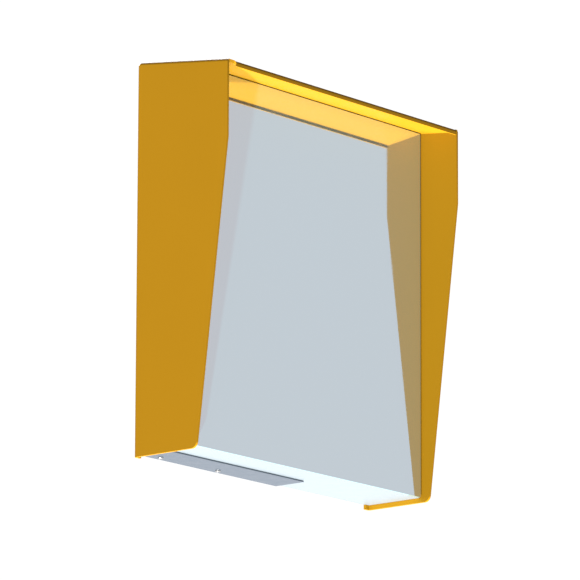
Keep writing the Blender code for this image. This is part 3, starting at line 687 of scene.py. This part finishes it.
def thread(name, axis, centre, start, end, radius, pitch, head=()):
    """A threaded shank from start to end, with an optional head as further steps."""
    way = 1 if end > start else -1
    steps = [(start, radius)]
    along = start + way * 0.6 * pitch
    while (end - along) * way > pitch:
        steps += [(along, radius), (along + way * pitch * 0.5, radius * 0.82)]
        along += way * pitch
    steps += [(end - way * 0.5 * pitch, radius), (end, radius * 0.7)]
    steps += list(head)
    obj = turn_up(name, axis, centre, steps, 14)
    close()
    return obj


# ---------------------------------------------------------------- case, strip, front and seals

def build_case(sizes):
    eased_copy("case", sizes.case_ease)
    eased_copy("mounting_strip", 0.7 * MM)
    eased_copy("rear_door", sizes.case_ease)


def build_front(sizes):
    eased_copy("lens", sizes.front_ease, 3)


def build_seals():
    for node in ("lens_gasket", "door_gasket"):
        eased_copy(node, 0.35 * MM, 3)


# ---------------------------------------------------------------- screws

def cross_recess(obj, axis, centre, arm, depth, width):
    """Cuts a cross slot in a screw head: centre is on the head's top."""
    index = "XYZ".index(axis)
    cutters = []
    for across in "XYZ".replace(axis, ""):
        size = Vector((width, width, width))
        size["XYZ".index(across)] = 2 * arm
        size[index] = 2 * depth
        low, high = Vector(centre) - size / 2, Vector(centre) + size / 2
        cutters.append(block(f"slot_{across}", low, high))
        bpy.ops.object.mode_set(mode="OBJECT")
    for cutter in cutters:
        carve(obj, cutter)


def pan_screw(name, length):
    """A pan-head screw along Y with the top of its head at Y = 0."""
    seat = -2.0 * MM
    screw = thread(name, "Y", (0, 0, 0), -length, seat, SCREW_R, SCREW_PITCH, [
        (seat, SCREW_HEAD_R), (-0.9 * MM, SCREW_HEAD_R), (-0.35 * MM, 2.6 * MM), (0.0, 1.7 * MM)])
    cross_recess(screw, "Y", (0, 0, 0), 1.5 * MM, 1.0 * MM, 0.6 * MM)
    ease(screw, 0.08 * MM, 1)
    return screw


def build_strip_screws():
    """Two stout pan-head screws whose heads stand below the mounting strip."""
    low, high, mid = span("strip_screw_1")
    radius = (high.x - low.x) / 2
    seat = -0.1 * MM
    head = [(seat, radius), (0.55 * low.z, radius), (0.85 * low.z, 0.86 * radius),
            (low.z, 0.58 * radius)]
    first = thread("strip_screw_1_finished", "Z", mid, high.z, seat, STRIP_SCREW_R,
                   STRIP_SCREW_PITCH, head)
    cross_recess(first, "Z", (mid.x, mid.y, low.z), 1.7 * MM, 1.4 * MM, 0.7 * MM)
    ease(first, 0.1 * MM, 1)
    second = copy_piece(first, "strip_screw_2_finished", (span("strip_screw_2")[2].x - mid.x, 0, 0))
    for number, screw in enumerate((first, second), 1):
        finish_piece(screw, "steel", "head", f"strip_screw_{number}")


def build_screws():
    build_strip_screws()
    for kind, count in SCREW_COUNTS.items():
        low, high, _ = span(f"{kind}_1")
        pattern = pan_screw(f"{kind}_pattern", high.y - low.y)
        for number in range(1, count + 1):
            _, high, mid = span(f"{kind}_{number}")
            screw = copy_piece(pattern, f"{kind}_{number}_finished", (mid.x, high.y, mid.z))
            finish_piece(screw, "steel", "head", f"{kind}_{number}")
        discard(pattern)


# ---------------------------------------------------------------- lights and boards

def tip_centres(node):
    """Middles of the light tips, read from the foremost points of an engineered panel."""
    points = [vert.co for vert in frame["nodes"][node].data.vertices]
    front = min(point.y for point in points)
    groups = []
    for point in points:
        if point.y > front + 0.1 * MM:
            continue
        for group in groups:
            if (group[0] - point).length < TIP_ROOM:
                group.append(point)
                break
        else:
            groups.append([point])
    centres = []
    for group in groups:
        xs, zs = [p.x for p in group], [p.z for p in group]
        centres.append(((min(xs) + max(xs)) / 2, (min(zs) + max(zs)) / 2))
    return front, centres


def build_lights(sizes):
    """Holder plates with a domed light at each place, and the solder joints behind them."""
    joints = []
    back = span("led_board")[1].y
    for symbol, finish in (("hand", "led_amber"), ("walker", "led_clear")):
        node = f"{symbol}_led_panel"
        low, high, _ = span(node)
        front, centres = tip_centres(node)
        face = high.y - HOLDER_THICK
        plate = block(f"{symbol}_holder_plate", (low.x, face, low.z), high)
        pick("EDGE", lambda edge: reach(edge, "Y") > 1 * MM)
        bpy.ops.mesh.bevel(offset=3 * MM, segments=5, affect="EDGES")
        pick("FACE", lambda side: side.normal.y < -0.9)
        bpy.ops.mesh.inset(thickness=2.2 * MM)
        bpy.ops.mesh.inset(thickness=0.5 * MM, depth=-0.4 * MM)
        close()
        ease(plate, 0.25 * MM)
        finish_piece(plate, "holder_plate", "head")

        radius = sizes.light_radius
        rim = radius * 1.16
        dome = [(face + 0.2 * MM, rim), (face - 1.0 * MM, rim), (face - 1.0 * MM, radius),
                (face - 5.0 * MM, radius), (face - 6.3 * MM, radius * 0.86),
                (face - 7.1 * MM, radius * 0.55), (front, radius * 0.16)]
        light = turn_up(f"{symbol}_light", "Y", (0, 0, 0), dome, 12)
        close()
        shade(light, 50)
        lights = [copy_piece(light, f"{symbol}_light_{i}", (x, 0, z))
                  for i, (x, z) in enumerate(centres)]
        discard(light)
        finish_piece(join(f"{symbol}_lights", lights), finish, "head", node)
        joints += [(x + shift, z) for x, z in centres for shift in (-LEAD_OFFSET, LEAD_OFFSET)]

    dot = turn_up("joint", "Y", (0, 0, 0), [
        (back - 0.1 * MM, 0.9 * MM), (back + 0.35 * MM, 0.6 * MM), (back + 0.9 * MM, 0.28 * MM)], 8)
    close()
    shade(dot, 60)
    half, under, over = SUPPLY_ROOM
    clear = [(x, z) for x, z in joints if not (abs(x) < half and under < z < over)]
    dots = [copy_piece(dot, f"joint_{i}", (x, 0, z)) for i, (x, z) in enumerate(clear)]
    discard(dot)
    finish_piece(join("light_solder_joints", dots), "solder", "head")


def chip(name, low, high, finish):
    """A small soldered part with a chamfered top."""
    body = block(name, low, high)
    pick("FACE", lambda face: face.normal.y > 0.9)
    bpy.ops.mesh.inset(thickness=0.25 * MM, depth=0.0)
    bpy.ops.transform.translate(value=(0, 0.15 * MM, 0))
    close()
    shade(body)
    return finish_piece(body, finish, "head")


def build_boards():
    eased_copy("led_board", 0.2 * MM)
    eased_copy("supply_board", 0.2 * MM)
    for number in range(1, 5):
        eased_copy(f"board_standoff_{number}", 0.3 * MM)
        eased_copy(f"supply_spacer_{number}", 0.25 * MM)
    back = span("led_board")[1].y
    row = []
    for column in (*range(-7, 0), *range(1, 8)):
        for z in RESISTOR_ROWS:
            x = column * RESISTOR_PITCH
            row.append(chip(f"resistor_{len(row)}", (x - 1.6 * MM, back + 0.02 * MM, z - 0.8 * MM),
                            (x + 1.6 * MM, back + 0.7 * MM, z + 0.8 * MM), "nylon_black"))
    finish_piece(join("board_resistors", row), "nylon_black", "head")


# ---------------------------------------------------------------- supply

def build_supply():
    low, high, mid = span("transformer")
    core = block("transformer_core", (low.x + 4 * MM, low.y, low.z),
                 (high.x - 4 * MM, high.y, high.z))
    pick("FACE", lambda face: abs(face.normal.z) > 0.9)
    bpy.ops.mesh.inset(thickness=1.2 * MM, depth=-0.5 * MM)
    close()
    ease(core, 0.4 * MM)
    finish_piece(core, "laminated_core", "head", "transformer")
    winding = block("transformer_winding", (low.x, low.y + 2 * MM, mid.z - 8 * MM),
                    (high.x, high.y - 2 * MM, mid.z + 8 * MM))
    pick("EDGE", lambda edge: reach(edge, "X") > 10 * MM)
    bpy.ops.mesh.bevel(offset=1.8 * MM, segments=4, affect="EDGES")
    pick("FACE", lambda face: abs(face.normal.x) > 0.9)
    bpy.ops.mesh.inset(thickness=1.5 * MM, depth=-0.6 * MM)
    close()
    ease(winding, 0.3 * MM)
    finish_piece(winding, "copper_winding", "head")

    for number in (1, 2):
        low, high, mid = span(f"capacitor_{number}")
        radius = (high.x - low.x) / 2
        y = low.y
        can = turn_up(f"capacitor_{number}_can", "Y", mid, [
            (y, radius * 0.96), (y + 0.6 * MM, radius), (y + 1.6 * MM, radius),
            (y + 2.0 * MM, radius * 0.9), (y + 2.4 * MM, radius), (high.y - 0.6 * MM, radius),
            (high.y, radius * 0.93), (high.y, radius * 0.84),
            (high.y - 0.35 * MM, radius * 0.8)], 32)
        close()
        cross_recess(can, "Y", (mid.x, high.y - 0.35 * MM, mid.z), radius * 0.6, 0.2 * MM, 0.4 * MM)
        shade(can)
        finish_piece(can, "capacitor_blue", "head", f"capacitor_{number}")

    eased_copy("heat_sink", 0.3 * MM)
    eased_copy("supply_connector", 0.4 * MM)
    low, high, _ = span("supply_connector")
    pins = []
    for i in range(4):
        z = low.z + (i + 0.5) * (high.z - low.z) / 4
        pins.append(chip(f"pin_{i}", (low.x + 3 * MM, high.y - 0.2 * MM, z - 0.9 * MM),
                         (low.x + 8 * MM, high.y + 0.25 * MM, z + 0.9 * MM), "solder"))
    finish_piece(join("connector_pins", pins), "solder", "head")

    lead = merged_copy("supply_lead", "supply_lead_finished")
    apply_modifier(lead, "SUBSURF", levels=1, render_levels=1)
    shade(lead, 50)
    finish_piece(lead, "cable_gray", "head", "supply_lead")


def build_terminals():
    """The terminal strip with a clamp screw before and behind each way's rib."""
    eased_copy("terminal_block", 0.35 * MM)
    low, _, mid = span("terminal_block")
    step = low.z + TERMINAL_STEP
    seat = step + 0.4 * MM
    pattern = thread("clamp_pattern", "Z", (0, 0, 0), step - 3 * MM, seat, SCREW_R, SCREW_PITCH, [
        (seat, 3.4 * MM), (step + 1.9 * MM, 3.4 * MM), (step + 2.5 * MM, 2.9 * MM)])
    slot = block("slot", (-4 * MM, -0.45 * MM, step + 1.5 * MM), (4 * MM, 0.45 * MM, step + 4 * MM))
    bpy.ops.object.mode_set(mode="OBJECT")
    carve(pattern, slot)
    ease(pattern, 0.1 * MM, 1)
    screws, plates = [], []
    plate = block("clamp_plate", (-6 * MM, -4.4 * MM, step + 0.02 * MM),
                  (6 * MM, 4.4 * MM, step + 0.5 * MM))
    pick("EDGE", lambda edge: reach(edge, "Z") > 0.3 * MM)
    bpy.ops.mesh.bevel(offset=1 * MM, segments=3, affect="EDGES")
    close()
    ease(plate, 0.1 * MM)
    for way in range(TERMINAL_WAYS):
        x = (way - (TERMINAL_WAYS - 1) / 2) * TERMINAL_PITCH
        for row, y in enumerate((mid.y - CLAMP_OFFSET, mid.y + CLAMP_OFFSET)):
            screws.append(copy_piece(pattern, f"clamp_{way}_{row}", (x, y, 0)))
            plates.append(copy_piece(plate, f"clamp_plate_{way}_{row}", (x, y, 0)))
    discard(pattern, plate)
    finish_piece(join("terminal_screws", screws), "steel", "head")
    finish_piece(join("terminal_plates", plates), "solder", "head")


# ---------------------------------------------------------------- hinges, latches and gland

def build_hinges(sizes):
    pattern = turn_up("leaf_screw_pattern", "Y", (0, 0, 0), [
        (-4 * MM, 1.4 * MM), (-0.9 * MM, 1.6 * MM), (-0.1 * MM, 2.9 * MM), (0.15 * MM, 2.7 * MM),
        (0.3 * MM, 1.9 * MM)], 20)
    close()
    cross_recess(pattern, "Y", (0, 0.3 * MM, 0), 1.6 * MM, 0.7 * MM, 0.5 * MM)
    ease(pattern, 0.06 * MM, 1)
    for level in LEVELS:
        for node in ("hinge_fixed_leaf", "hinge_door_leaf"):
            eased_copy(f"{node}_{level}", sizes.hardware_ease)
        eased_copy(f"hinge_pin_{level}", 0.25 * MM)

        low, _, mid = span(f"hinge_door_leaf_{level}")
        face = low.y + LEAF_THICK
        screws = [copy_piece(pattern, "leaf_screw", (low.x + across, face, mid.z + along))
                  for across in LEAF_SCREWS_X for along in LEAF_SCREWS_Z]
        finish_piece(join(f"door_leaf_screws_{level}", screws), "steel", "door")

        _, high, mid = span(f"hinge_fixed_leaf_{level}")
        sideways = copy_piece(pattern, "side_pattern")
        sideways.data.transform(Matrix.Rotation(radians(90), 4, "Z"))
        screws = [copy_piece(sideways, "side_screw", (high.x - 2.2 * MM, 0.6 * MM, mid.z + along))
                  for along in LEAF_SCREWS_Z]
        discard(sideways)
        finish_piece(join(f"case_leaf_screws_{level}", screws), "steel", "head")
    discard(pattern)


def build_latches(sizes):
    for level in LEVELS:
        eased_copy(f"latch_knob_{level}", 0.7 * MM, 3)
        eased_copy(f"latch_cam_{level}", sizes.hardware_ease)
        eased_copy(f"latch_nut_{level}", sizes.hardware_ease)
        eased_copy(f"latch_bush_{level}", 0.3 * MM)


def build_gland(sizes):
    """The cable gland, with grip ribs round its cap."""
    for node in ("gland_body", "gland_seal", "gland_locknut"):
        eased_copy(node, 0.4 * MM)
    low, high, mid = span("gland_cap")
    outer = (high.x - low.x) / 2
    sides = sizes.gland_ribs * SIDES_PER_RIB
    cap = turn_up("gland_cap_ribbed", "Y", mid, [
        (low.y, outer * 0.92), (low.y + 0.5 * MM, outer * 0.93), (low.y + 5.6 * MM, outer * 0.93),
        (high.y - 2 * MM, outer * 0.84), (high.y, outer * 0.62)], sides)

    def on_rib(face):
        spot = middle(face) - mid
        turn = Vector((spot.x, spot.z)).angle_signed(Vector((1, 0))) / (2 * pi) + 1
        on_side = near(middle(face).y, low.y + 3.05 * MM, 0.6 * MM) and len(face.verts) == 4
        return on_side and int(turn * sides + 0.5) % SIDES_PER_RIB == 0

    pick("FACE", on_rib)
    bpy.ops.mesh.extrude_region_shrink_fatten(TRANSFORM_OT_shrink_fatten={"value": outer * 0.065})
    close()
    hole = turn_up("bore", "Y", mid, [
        (low.y - 1 * MM, GLAND_BORE), (high.y + 1 * MM, GLAND_BORE)], 48)
    close()
    carve(cap, hole)
    ease(cap, 0.25 * MM)
    finish_piece(cap, "nylon_black", "door", "gland_cap")


# ---------------------------------------------------------------- stage

def sun(name, ahead, strength, angle):
    light = bpy.data.lights.new(name, "SUN")
    light.energy = strength
    light.angle = radians(angle)
    obj = bpy.data.objects.new(name, light)
    obj.rotation_euler = Vector(ahead).to_track_quat("-Z", "Y").to_euler()
    bpy.context.scene.collection.objects.link(obj)


def build_surroundings(studio):
    """White all round: dim for soft light, bright where it is seen or mirrored."""
    world = bpy.data.worlds.new("studio_surroundings")
    bpy.context.scene.world = world
    world.use_nodes = True
    tree = world.node_tree
    rays = tree.nodes.new("ShaderNodeLightPath").outputs
    first_hit = reckon(tree, "LESS_THAN", rays["Diffuse Depth"], 0.5)
    in_mirror = reckon(tree, "MULTIPLY", rays["Is Glossy Ray"], first_hit)
    level = studio.around
    for ray, strength in ((in_mirror, studio.mirrored), (rays["Is Camera Ray"], SEEN_WHITE)):
        level = reckon(tree, "MULTIPLY_ADD", ray, strength - studio.around, level)
    background = tree.nodes["Background"]
    tint = tree.nodes.new("ShaderNodeMix")
    tint.data_type = "RGBA"
    tree.links.new(rays["Is Glossy Ray"], tint.inputs[0])
    tint.inputs[6].default_value = (1.0, 1.0, 1.0, 1.0)
    tint.inputs[7].default_value = (*studio.mirrored_tint, 1.0)
    tree.links.new(tint.outputs[2], background.inputs["Color"])
    tree.links.new(level, background.inputs["Strength"])


def build_stage(studio):
    deselect_all()
    bpy.ops.mesh.primitive_plane_add(size=FLOOR_SIZE, location=(0, 0, studio.floor_level))
    floor = begin("studio_floor")
    bpy.ops.mesh.subdivide(number_cuts=3)
    bpy.ops.object.mode_set(mode="OBJECT")
    paint = Finish("floor_paint", (0.86, 0.86, 0.86), 0.7, Emission_Strength=0.35)
    paint.shader.inputs["Emission Color"].default_value = (1, 1, 1, 1)
    paint.tint(paint.remap(paint.noise(0.3, 3.0), 0.4, 0.7, 0.0, 0.5), (0.83, 0.83, 0.83))
    floor.data.materials.append(paint.material)
    floor.visible_shadow = False
    floor.visible_diffuse = False

    sun("key_light", KEY_AHEAD, studio.key, KEY_ANGLE)
    sun("low_light", LOW_AHEAD, studio.low, LOW_ANGLE)
    sun("rear_light", REAR_AHEAD, studio.rear, REAR_ANGLE)
    build_surroundings(studio)

    lens = bpy.data.cameras.new("camera")
    lens.lens = CAMERA_LENS
    lens.sensor_width = 36.0
    lens.clip_end = 1000.0
    camera = bpy.data.objects.new("camera", lens)
    turn = CAMERA_AHEAD.to_track_quat("-Z", "Y").to_matrix() @ Matrix.Rotation(CAMERA_ROLL, 3, "Z")
    camera.matrix_world = Matrix.Translation(CAMERA_PLACE) @ turn.to_4x4()
    bpy.context.scene.collection.objects.link(camera)
    bpy.context.scene.camera = camera
    bpy.context.scene.view_settings.view_transform = "Standard"


# ---------------------------------------------------------------- operators, panel and registration

class SIGNAL_OT_finishes(bpy.types.Operator):
    """Makes the paints, plastics and metals of every piece"""

    bl_idname = "signal.finishes"
    bl_label = "Make Finishes"

    def execute(self, context):
        make_finishes(context.scene.signal_paints)
        return {"FINISHED"}


class SIGNAL_OT_stage(bpy.types.Operator):
    """Puts the floor, lights, surroundings and camera in place"""

    bl_idname = "signal.stage"
    bl_label = "Set the Stage"

    def execute(self, context):
        build_stage(context.scene.signal_studio)
        return {"FINISHED"}


class SIGNAL_OT_hood(bpy.types.Operator):
    """Folds the hood from one sheet and adds its studs and nuts"""

    bl_idname = "signal.hood"
    bl_label = "Fold the Hood"

    def execute(self, context):
        build_hood(context.scene.signal_sizes)
        return {"FINISHED"}


class SIGNAL_OT_case(bpy.types.Operator):
    """Builds the case, the mounting strip and the rear door"""

    bl_idname = "signal.case"
    bl_label = "Build the Case"

    def execute(self, context):
        build_case(context.scene.signal_sizes)
        return {"FINISHED"}


class SIGNAL_OT_front(bpy.types.Operator):
    """Builds the glossy front behind the hood"""

    bl_idname = "signal.front"
    bl_label = "Build the Front"

    def execute(self, context):
        build_front(context.scene.signal_sizes)
        return {"FINISHED"}


class SIGNAL_OT_seals(bpy.types.Operator):
    """Lays the gaskets of the front and the rear door"""

    bl_idname = "signal.seals"
    bl_label = "Lay the Seals"

    def execute(self, context):
        build_seals()
        return {"FINISHED"}


class SIGNAL_OT_screws(bpy.types.Operator):
    """Drives the screws of the strip, the front and the main board"""

    bl_idname = "signal.screws"
    bl_label = "Drive the Screws"

    def execute(self, context):
        build_screws()
        return {"FINISHED"}


class SIGNAL_OT_boards(bpy.types.Operator):
    """Builds the circuit boards with their standoffs and small parts"""

    bl_idname = "signal.boards"
    bl_label = "Build the Boards"

    def execute(self, context):
        build_boards()
        return {"FINISHED"}


class SIGNAL_OT_lights(bpy.types.Operator):
    """Builds the hand and walker lights on their holder plates"""

    bl_idname = "signal.lights"
    bl_label = "Build the Lights"

    def execute(self, context):
        build_lights(context.scene.signal_sizes)
        return {"FINISHED"}


class SIGNAL_OT_supply(bpy.types.Operator):
    """Builds the transformer, capacitors, heat sink, connector and lead"""

    bl_idname = "signal.supply"
    bl_label = "Build the Supply"

    def execute(self, context):
        build_supply()
        return {"FINISHED"}


class SIGNAL_OT_terminals(bpy.types.Operator):
    """Builds the terminal strip with its clamp screws"""

    bl_idname = "signal.terminals"
    bl_label = "Build the Terminals"

    def execute(self, context):
        build_terminals()
        return {"FINISHED"}


class SIGNAL_OT_hinges(bpy.types.Operator):
    """Builds both hinges of the rear door with their screws"""

    bl_idname = "signal.hinges"
    bl_label = "Build the Hinges"

    def execute(self, context):
        build_hinges(context.scene.signal_sizes)
        return {"FINISHED"}


class SIGNAL_OT_latches(bpy.types.Operator):
    """Builds both quarter-turn latches of the rear door"""

    bl_idname = "signal.latches"
    bl_label = "Build the Latches"

    def execute(self, context):
        build_latches(context.scene.signal_sizes)
        return {"FINISHED"}


class SIGNAL_OT_gland(bpy.types.Operator):
    """Builds the cable gland of the rear door"""

    bl_idname = "signal.gland"
    bl_label = "Build the Gland"

    def execute(self, context):
        build_gland(context.scene.signal_sizes)
        return {"FINISHED"}


class SIGNAL_PT_sidebar(bpy.types.Panel):
    """Lists the settings and the building steps of the signal head"""

    bl_idname = "SIGNAL_PT_sidebar"
    bl_label = "Signal Head"
    bl_space_type = "VIEW_3D"
    bl_region_type = "UI"
    bl_category = "Signal Head"

    def draw(self, context):
        scene = context.scene
        for group in (scene.signal_paints, scene.signal_sizes, scene.signal_studio):
            box = self.layout.box()
            for name in group.bl_rna.properties.keys():
                if name not in {"rna_type", "name"}:
                    box.prop(group, name)
        for step in STEPS:
            self.layout.operator(step.bl_idname)


STEPS = (SIGNAL_OT_finishes, SIGNAL_OT_stage, SIGNAL_OT_hood, SIGNAL_OT_case, SIGNAL_OT_front,
         SIGNAL_OT_seals, SIGNAL_OT_screws, SIGNAL_OT_boards, SIGNAL_OT_lights, SIGNAL_OT_supply,
         SIGNAL_OT_terminals, SIGNAL_OT_hinges, SIGNAL_OT_latches, SIGNAL_OT_gland)
SETTINGS = (SignalPaints, SignalSizes, SignalStudio)


def register():
    for kind in (*SETTINGS, *STEPS, SIGNAL_PT_sidebar):
        bpy.utils.register_class(kind)
    bpy.types.Scene.signal_paints = bpy.props.PointerProperty(type=SignalPaints)
    bpy.types.Scene.signal_sizes = bpy.props.PointerProperty(type=SignalSizes)
    bpy.types.Scene.signal_studio = bpy.props.PointerProperty(type=SignalStudio)


def unregister():
    for name in ("signal_paints", "signal_sizes", "signal_studio"):
        delattr(bpy.types.Scene, name)
    for kind in reversed((*SETTINGS, *STEPS, SIGNAL_PT_sidebar)):
        bpy.utils.unregister_class(kind)


def main():
    register()
    for step in STEPS:
        getattr(bpy.ops.signal, step.bl_idname.split(".")[1])()


if __name__ == "__main__":
    main()
